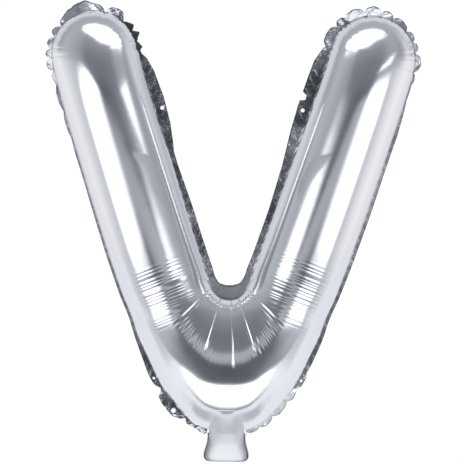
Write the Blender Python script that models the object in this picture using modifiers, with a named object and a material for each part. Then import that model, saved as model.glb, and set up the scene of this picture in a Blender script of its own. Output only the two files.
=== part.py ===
"""Foil balloon in the shape of a capital V, with its sealed edge, eyelet tabs, filling tail and valve.

The seam plane is y = 0 and the front faces -Y. The origin is the middle of the tail's lower end.
"""

import math

import bmesh
import bpy
from mathutils import Vector

MM = 0.001

# Limbs
TIP_X = 105.5 * MM
TIP_Z = 307.5 * MM
LIMB_LEAN = math.radians(17.95)
TIP_RADIUS = 33.0 * MM
TUBE_DEPTH = 33.6 * MM
DOME_REACH = 54.0 * MM
DOME_POWER = 2.1
DOME_STEPS = 5

# Limb sections down from the tip's centre, in millimetres: distance, inner radius, outer radius
LIMB_SECTIONS = (
    (0.0, 33.0, 33.3),
    (22.0, 33.1, 33.9),
    (60.0, 33.2, 34.4),
    (100.0, 33.4, 34.5),
    (140.0, 33.5, 34.2),
    (180.0, 34.0, 32.9),
)

# Film shells
FILM_WALL = 1.0 * MM
SEAM_HALF_GAP = 0.3 * MM
ACROSS = 6
SMOOTHING_SWELL = 1.03
CREASE_END = 0.25

# Base sections that turn round the crotch, from the limb to the middle of the base, in millimetres:
# inner x, inner z, outer x, outer z, depth, crease
BASE_SECTIONS = (
    (15.8, 139.5, 74.4, 110.3, 34.4, 0.00),
    (13.9, 135.2, 69.2, 95.2, 35.2, 0.00),
    (12.4, 132.2, 63.6, 83.0, 35.8, 0.16),
    (9.2, 128.6, 50.6, 57.2, 36.6, 0.00),
    (6.2, 126.4, 35.9, 38.6, 37.2, 0.12),
    (3.6, 125.4, 21.5, 26.6, 37.6, 0.00),
    (1.6, 125.1, 10.5, 23.7, 37.8, 0.04),
    (0.0, 125.0, 0.0, 23.2, 37.9, 0.10),
)

# Sealed edge
EDGE_THICKNESS = 1.0 * MM
EDGE_GAP = 0.3 * MM
EDGE_STEP = 2.6 * MM
EDGE_STEP_PLAIN = 10.4 * MM
SEAM_SEARCH_STEP = 0.25 * MM
NECK_X = 15.2 * MM

# Stretches of the sealed edge in order from the crotch to the neck, right side, sizes in millimetres:
# name, side and height where it ends, width, scallop height, scallops, eyelet diameter
EDGE_PARTS = (
    ("sealed_edge_inner", "inner", 258.0, 5.5, 0.0, 0, 0.0),
    ("eyelet_tab_inner", "inner", 275.0, 8.0, 0.0, 0, 3.0),
    ("sealed_edge_tip_inner", "inner", 339.0, 3.6, 2.4, 5, 0.0),
    ("eyelet_tab_tip", "outer", 338.0, 8.6, 0.0, 0, 3.0),
    ("sealed_edge_tip_outer", "outer", 288.0, 2.3, 1.8, 4, 0.0),
    ("sealed_edge_outer", "outer", 72.0, 2.2, 0.0, 0, 0.0),
    ("eyelet_tab_base", "outer", 56.0, 4.8, 0.0, 0, 2.0),
    ("sealed_edge_base", "neck", 0.0, 3.2, 2.8, 4, 0.0),
)
CROTCH_END_Z = 141.0 * MM
CROTCH_WIDTH = 8.0 * MM
LOW_TAB_START_Z = 49.0 * MM
LOW_TAB_END_Z = 34.0 * MM
LOW_TAB_WIDTH = 8.0 * MM
LOW_TAB_EYELET = 3.5 * MM
EYELET_SIDES = 12
TAB_SHOULDER = 0.22
TAB_ROOT_WIDTH = 0.55
PUNCH_DEPTH = 6.0 * MM

# Filling tail from the body down to its mouth, in millimetres: z, half width, bulge
TAIL_SECTIONS = (
    (23.1, 13.6, 3.0),
    (17.5, 13.2, 3.6),
    (12.0, 14.4, 4.8),
    (7.0, 16.0, 5.2),
    (3.0, 15.4, 4.8),
    (0.0, 12.2, 4.2),
)
TAIL_WALL = 0.8 * MM
TAIL_ACROSS = 6
TAIL_SEAL_WIDTH = 1.3 * MM
TAIL_SEAL_THICKNESS = 1.0 * MM

# Valve between the tail's films: z, half width, bulge
VALVE_SECTIONS = (
    (20.0, 7.6, 2.0),
    (12.0, 7.8, 2.7),
    (1.2, 8.0, 2.8),
)
VALVE_WALL = 0.5 * MM
POCKET_POWER = 4
POCKET_HALF_GAP = 0.8 * MM

MERGE = 0.00005

# Finishes: name, colour, metallic, roughness
FINISHES = (
    ("silver_film", (0.80, 0.81, 0.83), 1.0, 0.12),
    ("welded_edge", (0.62, 0.63, 0.66), 1.0, 0.28),
    ("valve_film", (0.85, 0.87, 0.88), 0.0, 0.25),
)


def clear_scene():
    """Removes every object, so that the script can run twice."""
    for obj in list(bpy.data.objects):
        bpy.data.objects.remove(obj)


def new_collection(name):
    """A new collection under the scene's own."""
    collection = bpy.data.collections.new(name)
    bpy.context.scene.collection.children.link(collection)
    return collection


def new_material(name, color, metallic, roughness):
    """A plain shaded finish."""
    material = bpy.data.materials.new(name)
    material.use_nodes = True
    shader = material.node_tree.nodes["Principled BSDF"]
    shader.inputs["Base Color"].default_value = (*color, 1.0)
    shader.inputs["Metallic"].default_value = metallic
    shader.inputs["Roughness"].default_value = roughness
    return material


def new_piece(name, bm, collection, material):
    """Makes a named object from a bmesh."""
    mesh = bpy.data.meshes.new(name)
    bm.to_mesh(mesh)
    bm.free()
    mesh.materials.append(material)
    piece = bpy.data.objects.new(name, mesh)
    collection.objects.link(piece)
    return piece


def limb_directions():
    """Directions along the right limb towards its tip, and across it towards its outer side."""
    axis = Vector((math.sin(LIMB_LEAN), 0.0, math.cos(LIMB_LEAN)))
    side = Vector((math.cos(LIMB_LEAN), 0.0, -math.sin(LIMB_LEAN)))
    return axis, side


def tube_depth(reach):
    """Half depth of a limb's tube at a distance from the end of its tip."""
    share = max(0.0, 1.0 - reach / DOME_REACH)
    return TUBE_DEPTH * (1.0 - share**DOME_POWER) ** (1.0 / DOME_POWER)


def limb_section(distance, inner_radius, outer_radius):
    """Inner point, outer point and depth of the right limb, at a distance down from its tip's centre."""
    axis, side = limb_directions()
    centre = Vector((TIP_X, 0.0, TIP_Z)) - axis * distance
    return centre - side * inner_radius, centre + side * outer_radius, tube_depth(TIP_RADIUS + distance)


def dome_section(angle):
    """Inner point, outer point and depth of the right limb's round end, at an angle above its centre."""
    axis, side = limb_directions()
    rise = TIP_RADIUS * math.sin(angle)
    centre = Vector((TIP_X, 0.0, TIP_Z)) + axis * rise
    reach = side * TIP_RADIUS * math.cos(angle)
    return centre - reach, centre + reach, tube_depth(TIP_RADIUS - rise)


def body_sections():
    """Sections of the right half: inner point, outer point, depth and crease, from tip to middle."""
    sections = []
    for step in range(DOME_STEPS):
        angle = math.pi / 2 * (1 - step / DOME_STEPS)
        sections.append((*dome_section(angle), 0.0))
    for distance, inner_radius, outer_radius in LIMB_SECTIONS:
        sections.append((*limb_section(distance * MM, inner_radius * MM, outer_radius * MM), 0.0))
    for inner_x, inner_z, outer_x, outer_z, depth, crease in BASE_SECTIONS:
        inner = Vector((inner_x, 0.0, inner_z)) * MM
        outer = Vector((outer_x, 0.0, outer_z)) * MM
        sections.append((inner, outer, depth * MM, crease))
    return sections


def crease_shape(across):
    """How strongly a fan crease pulls the film in, from 0 to 1, at a place across a section."""
    if across >= CREASE_END:
        return 0.0
    return math.sin(math.pi * (across + 1.0) / (CREASE_END + 1.0))


def film_rows(facing):
    """Rows of points across the film, one for each section; facing is -1 for the front."""
    rows = []
    for inner, outer, depth, crease in body_sections():
        middle = (inner + outer) / 2
        half = (outer - inner) / 2
        row = []
        for step in range(ACROSS + 1):
            angle = math.pi * (step / ACROSS - 0.5)
            swell = 1.0 if step in (0, ACROSS) else SMOOTHING_SWELL
            across = math.sin(angle) * swell
            bulge = depth * math.cos(angle) * SMOOTHING_SWELL
            bulge *= 1.0 - crease * crease_shape(across)
            point = middle + half * across
            point.y = facing * (bulge + SEAM_HALF_GAP)
            row.append(point)
        rows.append(row)
    return rows


def loft(bm, rows, facing):
    """Joins neighbouring rows with faces that point to the facing side."""
    grid = [[bm.verts.new(point) for point in row] for row in rows]
    for upper, lower in zip(grid, grid[1:]):
        for step in range(len(upper) - 1):
            corners = [upper[step], lower[step], lower[step + 1], upper[step + 1]]
            if facing > 0:
                corners.reverse()
            bm.faces.new(corners)
    bmesh.ops.remove_doubles(bm, verts=bm.verts, dist=MERGE)


def add_mirror(piece):
    """Adds the left half."""
    mirror = piece.modifiers.new("Left half", "MIRROR")
    mirror.merge_threshold = MERGE
    return mirror


def add_smoothing(piece):
    """Rounds a coarse sheet once."""
    rounding = piece.modifiers.new("Rounding", "SUBSURF")
    rounding.levels = 1
    rounding.render_levels = 1
    return rounding


def add_wall(piece, thickness, offset=-1.0):
    """Gives a sheet its thickness."""
    wall = piece.modifiers.new("Wall", "SOLIDIFY")
    wall.thickness = thickness
    wall.offset = offset
    return wall


def body_film(name, facing, collection, material):
    """One dished film of the body."""
    bm = bmesh.new()
    loft(bm, film_rows(facing), facing)
    piece = new_piece(name, bm, collection, material)
    piece.data.shade_smooth()
    add_mirror(piece)
    add_smoothing(piece)
    add_wall(piece, FILM_WALL)
    return piece


def seam_loop():
    """The seam line round the whole balloon, smoothed as the films' rims are, from the crotch's middle."""
    sections = body_sections()
    inner_side = [section[0] for section in reversed(sections)]
    outer_side = [section[1] for section in sections[1:]]
    right = inner_side + outer_side
    left = [Vector((-point.x, 0.0, point.z)) for point in reversed(right[1:-1])]
    coarse = right + left
    smooth = []
    for index, point in enumerate(coarse):
        before = coarse[index - 1]
        after = coarse[(index + 1) % len(coarse)]
        smooth.append((before + point * 6 + after) / 8)
        smooth.append((point + after) / 2)
    return smooth


class SeamLine:
    """The right half of the seam line, measured along its length from the crotch to the neck."""

    def __init__(self):
        loop = seam_loop()
        half = len(loop) // 2 + 1
        self.points = loop[:half]
        self.normals = []
        for index in range(half):
            along = loop[(index + 1) % len(loop)] - loop[index - 1]
            self.normals.append(Vector((-along.z, 0.0, along.x)).normalized())
        self.lengths = [0.0]
        for before, after in zip(self.points, self.points[1:]):
            self.lengths.append(self.lengths[-1] + (after - before).length)

    def at(self, distance):
        """Point and outward direction at a distance along the line; negative is the left side."""
        reach = abs(distance)
        index = 0
        while index < len(self.lengths) - 2 and self.lengths[index + 1] < reach:
            index += 1
        share = (reach - self.lengths[index]) / (self.lengths[index + 1] - self.lengths[index])
        point = self.points[index].lerp(self.points[index + 1], share)
        normal = self.normals[index].lerp(self.normals[index + 1], share).normalized()
        if distance < 0:
            point.x = -point.x
            normal.x = -normal.x
        return point, normal

    def crossing(self, reached):
        """First distance along the line at which the test on the point holds, from the crotch."""
        distance = 0.0
        while distance < self.lengths[-1] and not reached(*self.at(distance)):
            distance += SEAM_SEARCH_STEP
        return distance

    def mark(self, side, height):
        """Distance along the line to a height on the inner or outer side, or to the neck."""
        top = max(range(len(self.points)), key=lambda index: self.points[index].z)
        crest = self.lengths[top]
        if side == "inner":
            return self.crossing(lambda point, normal: point.z > height)
        distance = crest
        while distance < self.lengths[-1]:
            point = self.at(distance)[0]
            if side == "outer" and point.z < height:
                break
            if side == "neck" and point.x < NECK_X and point.z < LOW_TAB_END_Z:
                break
            distance += SEAM_SEARCH_STEP
        return distance


def scallop(share, scallops):
    """Height of the scalloped edge, from 0 to 1, at a share of the stretch."""
    if scallops == 0:
        return 0.0
    return abs(math.sin(math.pi * share * scallops))


def tab_shape(share):
    """Width of a tab, from its shoulders to its flat end, as a share of the extra width."""
    reach = min(share, 1.0 - share) / TAB_SHOULDER
    return min(reach, 1.0)


def edge_stretch(seam, start, end, width, bump, scallops, is_tab):
    """A flat strip outside the seam line between two distances, as an open sheet in a bmesh."""
    start += EDGE_GAP / 2
    end -= EDGE_GAP / 2
    spacing = EDGE_STEP if scallops or is_tab else EDGE_STEP_PLAIN
    steps = max(2, round((end - start) / spacing))
    stops = {start + (end - start) * step / steps for step in range(steps + 1)}
    stops.update(length for length in seam.lengths if start + EDGE_GAP < length < end - EDGE_GAP)
    bm = bmesh.new()
    rows = []
    for distance in sorted(stops):
        share = (distance - start) / (end - start)
        point, normal = seam.at(distance)
        reach = width + bump * scallop(share, scallops)
        if is_tab:
            reach = width * (TAB_ROOT_WIDTH + (1.0 - TAB_ROOT_WIDTH) * tab_shape(share))
        rows.append((point + normal * EDGE_GAP, point + normal * (EDGE_GAP + reach)))
    loft(bm, rows, -1)
    return bm


def punch(piece, centre, diameter, cutters):
    """Punches a round eyelet through a tab."""
    bm = bmesh.new()
    bmesh.ops.create_cone(
        bm, cap_ends=True, segments=EYELET_SIDES,
        radius1=diameter / 2, radius2=diameter / 2, depth=PUNCH_DEPTH,
    )
    mesh = bpy.data.meshes.new(piece.name + "_punch")
    bm.to_mesh(mesh)
    bm.free()
    cutter = bpy.data.objects.new(piece.name + "_punch", mesh)
    cutters.objects.link(cutter)
    cutter.rotation_euler.x = math.pi / 2
    cutter.location = centre
    cutter.hide_render = True
    cutter.display_type = "WIRE"
    hole = piece.modifiers.new("Eyelet", "BOOLEAN")
    hole.object = cutter


def flip_left(bm):
    """Turns a right-hand stretch into its left-hand twin."""
    bmesh.ops.scale(bm, vec=(-1.0, 1.0, 1.0), verts=bm.verts)
    bmesh.ops.reverse_faces(bm, faces=bm.faces)


def edge_piece(name, seam, span, sizes, hand, collection, cutters, material):
    """One stretch of the sealed edge or an eyelet tab; hand is 1 for right and -1 for left."""
    start, end = span
    width, bump, scallops, eyelet = sizes
    bm = edge_stretch(seam, start, end, width, bump, scallops, eyelet > 0)
    if hand < 0:
        flip_left(bm)
    piece = new_piece(name, bm, collection, material)
    add_wall(piece, EDGE_THICKNESS, 0.0)
    if eyelet > 0:
        point, normal = seam.at((start + end) / 2)
        centre = point + normal * (EDGE_GAP + width / 2)
        centre.x *= hand
        punch(piece, centre, eyelet, cutters)
    return piece


def sealed_edges(collection, cutters, material):
    """Every stretch of the sealed edge with its eyelet tabs, on both sides."""
    seam = SeamLine()
    crotch_end = seam.mark("inner", CROTCH_END_Z)
    span = (-crotch_end, crotch_end)
    edge_piece("sealed_edge_crotch", seam, span, (CROTCH_WIDTH, 0.0, 0, 0.0), 1, collection, cutters, material)
    low_start = seam.mark("outer", LOW_TAB_START_Z)
    low_end = seam.mark("outer", LOW_TAB_END_Z)
    for hand, suffix in ((1, "_right"), (-1, "_left")):
        start = crotch_end
        for name, side, height, width, bump, scallops, eyelet in EDGE_PARTS:
            end = seam.mark(side, height * MM)
            sizes = (width * MM, bump * MM, scallops, eyelet * MM)
            stretches = [(name, (start, end), sizes)]
            if name == "sealed_edge_base" and hand < 0:
                tab_sizes = (LOW_TAB_WIDTH, 0.0, 0, LOW_TAB_EYELET)
                stretches = [
                    (name + "_upper", (start, low_start), (width * MM, bump * MM, 1, 0.0)),
                    ("eyelet_tab_low", (low_start, low_end), tab_sizes),
                    (name + "_lower", (low_end, end), (width * MM, bump * MM, 2, 0.0)),
                ]
            for part_name, part_span, part_sizes in stretches:
                edge_piece(part_name + suffix, seam, part_span, part_sizes, hand, collection, cutters, material)
            start = end


def pocket_rows(sections, facing, across):
    """Rows of points across one film of the tail or valve."""
    rows = []
    for height, half_width, bulge in sections:
        row = []
        for step in range(across + 1):
            share = -math.cos(math.pi * step / across)
            depth = bulge * (1.0 - share**POCKET_POWER) * MM + POCKET_HALF_GAP
            row.append(Vector((half_width * share * MM, facing * depth, height * MM)))
        rows.append(row)
    return rows


def pocket_film(name, sections, facing, wall, collection, material):
    """One bowed film of the tail or of the valve."""
    bm = bmesh.new()
    loft(bm, pocket_rows(sections, facing, TAIL_ACROSS), facing)
    piece = new_piece(name, bm, collection, material)
    piece.data.shade_smooth()
    add_wall(piece, wall)
    return piece


def tail_seal(name, hand, collection, material):
    """The narrow welded strip down one side of the tail."""
    rows = []
    for height, half_width, _ in TAIL_SECTIONS:
        near = half_width * MM + EDGE_GAP
        far = near + TAIL_SEAL_WIDTH
        rows.append((Vector((near, 0.0, height * MM)), Vector((far, 0.0, height * MM))))
    bm = bmesh.new()
    loft(bm, rows, -1)
    if hand < 0:
        flip_left(bm)
    piece = new_piece(name, bm, collection, material)
    add_wall(piece, TAIL_SEAL_THICKNESS, 0.0)
    return piece


def build():
    """Builds the whole balloon."""
    clear_scene()
    balloon = new_collection("foil_balloon_letter_v")
    cutters = new_collection("eyelet_punches")
    silver, weld, clear_film = [new_material(*finish) for finish in FINISHES]
    for facing, side in ((-1, "front"), (1, "back")):
        body_film(side + "_film", facing, balloon, silver)
        pocket_film("tail_" + side + "_film", TAIL_SECTIONS, facing, TAIL_WALL, balloon, silver)
        pocket_film("valve_" + side + "_film", VALVE_SECTIONS, facing, VALVE_WALL, balloon, clear_film)
    for hand, suffix in ((1, "_right"), (-1, "_left")):
        tail_seal("tail_seal" + suffix, hand, balloon, weld)
    sealed_edges(balloon, cutters, weld)


build()
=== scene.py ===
"""Finish of a letter V foil balloon: mirror films, sealed edge, filling tail, valve and a plain studio."""

import math

import bmesh
import bpy
import numpy as np
from bpy.props import FloatProperty, FloatVectorProperty, PointerProperty
from bpy.types import Operator, Panel, PropertyGroup
from mathutils import Matrix, Vector
from mathutils.bvhtree import BVHTree


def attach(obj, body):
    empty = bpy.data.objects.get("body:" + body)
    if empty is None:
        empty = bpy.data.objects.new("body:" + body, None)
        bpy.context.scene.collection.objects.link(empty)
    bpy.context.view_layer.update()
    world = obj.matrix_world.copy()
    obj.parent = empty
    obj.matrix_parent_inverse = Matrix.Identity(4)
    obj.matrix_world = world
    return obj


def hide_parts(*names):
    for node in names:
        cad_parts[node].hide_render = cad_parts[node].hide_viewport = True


bl_info = {
    "name": "Letter Balloon Finish",
    "version": (1, 0, 0),
    "blender": (4, 5, 0),
    "location": "View3D > Sidebar > Balloon",
    "description": "Films, sealed edge, filling tail, valve and studio of a letter V foil balloon",
    "category": "Object",
}

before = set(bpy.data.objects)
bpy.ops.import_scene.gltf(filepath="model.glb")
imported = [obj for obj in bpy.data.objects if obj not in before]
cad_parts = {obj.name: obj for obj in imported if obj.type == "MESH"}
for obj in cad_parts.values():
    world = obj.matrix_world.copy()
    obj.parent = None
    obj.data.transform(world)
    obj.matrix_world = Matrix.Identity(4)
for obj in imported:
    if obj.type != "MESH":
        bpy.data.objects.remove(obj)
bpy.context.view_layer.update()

MM = 0.001
# Points closer than this are one, in metres
MERGE = 0.00002
TINY = 1e-9
# Upper limit of a random phase, in radians
PHASE = 6.28


# Limb sections by distance down from the tip's centre, in millimetres: distance, inner radius, outer radius
LIMB_SECTIONS = (
    (0.0, 33.0, 33.3),
    (25.0, 33.1, 34.0),
    (50.0, 33.2, 34.4),
    (75.0, 33.3, 34.5),
    (100.0, 33.4, 34.5),
    (125.0, 33.5, 34.4),
    (150.0, 33.6, 34.1),
    (165.0, 33.8, 33.6),
    (180.0, 34.0, 32.9),
)
LIMB_END = 180.0

# Base sections that turn round the crotch, in millimetres:
# row, inner x, inner z, outer x, outer z, depth, bluntness
BASE_SECTIONS = (
    (12.0, 15.8, 139.5, 74.4, 110.3, 34.4, 0.10),
    (24.0, 13.9, 135.2, 69.2, 95.2, 35.2, 0.35),
    (34.0, 12.4, 132.2, 63.6, 83.0, 35.8, 0.65),
    (50.0, 9.2, 128.6, 50.6, 57.2, 36.6, 0.90),
    (64.0, 6.2, 126.4, 35.9, 38.6, 37.2, 1.00),
    (77.0, 3.6, 125.4, 21.5, 26.6, 37.6, 1.00),
    (84.0, 1.6, 125.1, 10.5, 23.7, 37.8, 1.00),
    (91.0, 0.0, 125.0, 0.0, 23.2, 37.9, 1.00),
)

# Stations of the body's sections round a tip, down a limb and mirrored past the middle of the base
TIP_STATIONS = 18
LIMB_STATIONS = 19
MIRRORED_STATIONS = 3
# Points of each seam line of one half
SEAM_POINTS = 4000
# Depth of the tubes beyond their radius, in millimetres, and how full the domes of the tips are
DEPTH_EXTRA = 0.6
DOME_POWER = 2.1
# Blunt inner wall of the base: its bow, how square it ends and, in radians, the turn over which it sets in
BLUNT_BOW = 0.36
BLUNT_EDGE = 14
BLUNT_TURN = 0.5
# Half the gap between the films at the seam, and the length over which the two halves blend, in millimetres
SEAM_GAP = 0.1
HALVES_BLEND = 3.0

# Rows of the films from the tip to the middle of the base, in millimetres: zone's end, row spacing
ROW_ZONES = (
    (54.0, 0.46),
    (206.0, 3.3),
    (268.0, 0.50),
    (322.8, 0.56),
)
ACROSS = 60
# Closer rows at each straight crease: how far to both sides of it, in millimetres, and how many
CREASE_REACH = 1.5
CREASE_ROWS = 13

# Fan creases, in millimetres and shares across:
# side, row, slant, share where it starts, share where it ends, depth, width, dent at its end
FAN_CREASES = (
    (1, 265.6, 1.0, -0.95, 0.02, 0.26, 0.55, 0.0),
    (-1, 265.6, 2.0, -0.93, 0.02, 0.26, 0.55, 0.0),
    (1, 295.6, 0.0, -0.93, -0.10, 0.24, 0.42, 0.45),
    (-1, 299.8, 0.0, -0.93, -0.18, 0.24, 0.42, 0.45),
    (1, 317.6, 0.0, -0.93, -0.06, 0.20, 0.40, 0.40),
)
SLANT_MIDDLE = 0.5
CREASE_ENDS = (0.06, 0.05)
# Ridge beside a crease: height as a share of the depth, distance and width as shares of the width
RIDGE_HEIGHT = 0.30
RIDGE_DISTANCE = 2.6
RIDGE_WIDTH = 1.6
# Dent at the end of a crease: width in millimetres and length in shares across
DENT_WIDTH = 1.2
DENT_LENGTH = 0.04
# Short pleats round the fan: side, start row, end row, row pitch, inner share, outer share, height
FAN_PLEATS = (
    (1, 264.0, 322.8, 6.6, -1.00, -0.78, 0.20),
    (-1, 264.0, 322.8, 7.0, -1.00, -0.78, 0.20),
    (1, 268.0, 292.0, 2.4, -0.20, -0.02, 0.28),
    (1, 292.0, 322.8, 3.1, -0.18, -0.04, 0.09),
    (-1, 268.0, 290.0, 3.3, -0.20, -0.05, 0.15),
    (-1, 290.0, 322.8, 3.3, -0.16, -0.06, 0.09),
)
FAN_PLEAT_SEED = 60
FAN_PLEAT_UNEVEN = 0.2
FAN_PLEAT_ENDS = (2.0, 2.0)
FAN_PLEAT_SIDES = (0.05, 0.08)
# Fold along the fan's outer end: share across, width as a share, depth, and the rows over which it sets in
FAN_EDGE = -0.08
FAN_EDGE_WIDTH = 0.022
FAN_EDGE_DEPTH = 0.10
FAN_EDGE_START = (266.0, 270.0)

# Pleats across the lower limbs, in millimetres from the tip's centre and shares across:
# side, start, end, pitch, lean, inner share, outer share, height
LIMB_PLEATS = (
    (1, 164.0, 216.0, 2.7, 21.0, -0.70, 0.60, 0.10),
    (-1, 168.0, 214.0, 2.8, 22.5, -0.60, 0.54, 0.10),
)
LIMB_PLEAT_SEED = 40
LIMB_PLEAT_UNEVEN = 0.22
LIMB_PLEAT_ENDS = (5.0, 6.0)
LIMB_PLEAT_SIDES = (0.10, 0.14)
# Rows over which the fan cuts these pleats off
LIMB_PLEAT_CUT = (262.0, 265.0)


class BalloonSizes(PropertyGroup):
    """Sizes that shape the films and the sealed edge."""

    tip_x: FloatProperty(
        name="Tip X", description="Half distance between the tips' centres", default=0.1055, unit="LENGTH"
    )
    tip_z: FloatProperty(
        name="Tip Height", description="Height of the tips' centres", default=0.3075, unit="LENGTH"
    )
    lean: FloatProperty(
        name="Limb Lean", description="Lean of each limb", default=math.radians(17.95), unit="ROTATION"
    )
    radius: FloatProperty(
        name="Tube Radius", description="Radius of the limbs' tubes", default=0.033, unit="LENGTH"
    )
    dome: FloatProperty(
        name="Dome Length", description="Length in which a tip gets full depth", default=0.070, unit="LENGTH"
    )
    film: FloatProperty(
        name="Film", description="Thickness of the films", default=0.00022, unit="LENGTH"
    )
    edge: FloatProperty(
        name="Edge", description="Thickness of the sealed edge", default=0.00035, unit="LENGTH"
    )


class BalloonColours(PropertyGroup):
    """Colours of the finishes, of the painted shade and of the studio."""

    silver: FloatVectorProperty(
        name="Silver", description="Mirror film", default=(0.86, 0.865, 0.89), subtype="COLOR", size=3
    )
    sealed: FloatVectorProperty(
        name="Sealed Edge", description="Welded edge", default=(0.66, 0.665, 0.69), subtype="COLOR", size=3
    )
    tail: FloatVectorProperty(
        name="Tail", description="Hazy film of the tail", default=(0.66, 0.665, 0.68), subtype="COLOR", size=3
    )
    # Colour of painted shade: the sealed edge's dark rim, flecks and stretches, and the tail's darker sides
    # and mouth
    rim: FloatVectorProperty(
        name="Rim", description="Dark rim and flecks", default=(0.09, 0.095, 0.11), subtype="COLOR", size=3
    )
    clear: FloatVectorProperty(
        name="Valve", description="Valve film", default=(0.90, 0.92, 0.93), subtype="COLOR", size=3
    )
    floor: FloatVectorProperty(
        name="Floor", description="Studio floor", default=(0.93, 0.93, 0.93), subtype="COLOR", size=3
    )


def smooth_step(low, high, value):
    """0 below low, 1 above high and a smooth rise between."""
    share = np.clip((value - low) / (high - low), 0.0, 1.0)
    return share * share * (3.0 - 2.0 * share)


def window(value, start, end, rise, fall):
    """1 between start and end, with soft shoulders."""
    return smooth_step(start - rise, start, value) * (1.0 - smooth_step(end, end + fall, value))


def curve_through(knots, values, at):
    """Smooth curve through a table's rows."""
    gaps = np.diff(knots)
    slopes = np.diff(values, axis=0) / gaps[:, None]
    tangents = np.empty_like(values)
    tangents[0] = slopes[0]
    tangents[-1] = slopes[-1]
    before = gaps[:-1, None]
    after = gaps[1:, None]
    tangents[1:-1] = (slopes[:-1] * after + slopes[1:] * before) / (before + after)
    index = np.clip(np.searchsorted(knots, at, side="right") - 1, 0, len(knots) - 2)
    share = ((at - knots[index]) / gaps[index])[:, None]
    gap = gaps[index][:, None]
    start = (1 + 2 * share) * (1 - share) ** 2
    leave = share * (1 - share) ** 2 * gap
    end = share * share * (3 - 2 * share)
    arrive = share * share * (share - 1) * gap
    near = start * values[index] + leave * tangents[index]
    return near + end * values[index + 1] + arrive * tangents[index + 1]


# Pleats of an uneven pitch: lengths of their drifts and swell in pitches, mean height, swing and zero line
RIPPLE_DRIFTS = (7.0, 3.1, 1.7)
RIPPLE_SWELL = 2.3
RIPPLE_HEIGHT = 0.75
RIPPLE_SWING = 0.25
RIPPLE_ZERO = 0.64


def ripple(position, pitch, seed, uneven=0.35):
    """Pleats of an uneven pitch: rounded ridges with sharp valleys, from -0.64 to 0.36."""
    draw = np.random.default_rng(seed)
    phase = position / pitch
    for drift in RIPPLE_DRIFTS:
        phase = phase + uneven * np.sin(position / (pitch * drift) * math.pi + draw.uniform(0, PHASE))
    height = RIPPLE_HEIGHT + RIPPLE_SWING * np.sin(position / (pitch * RIPPLE_SWELL) + draw.uniform(0, PHASE))
    return height * (np.abs(np.sin(math.pi * phase)) - RIPPLE_ZERO)


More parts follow.
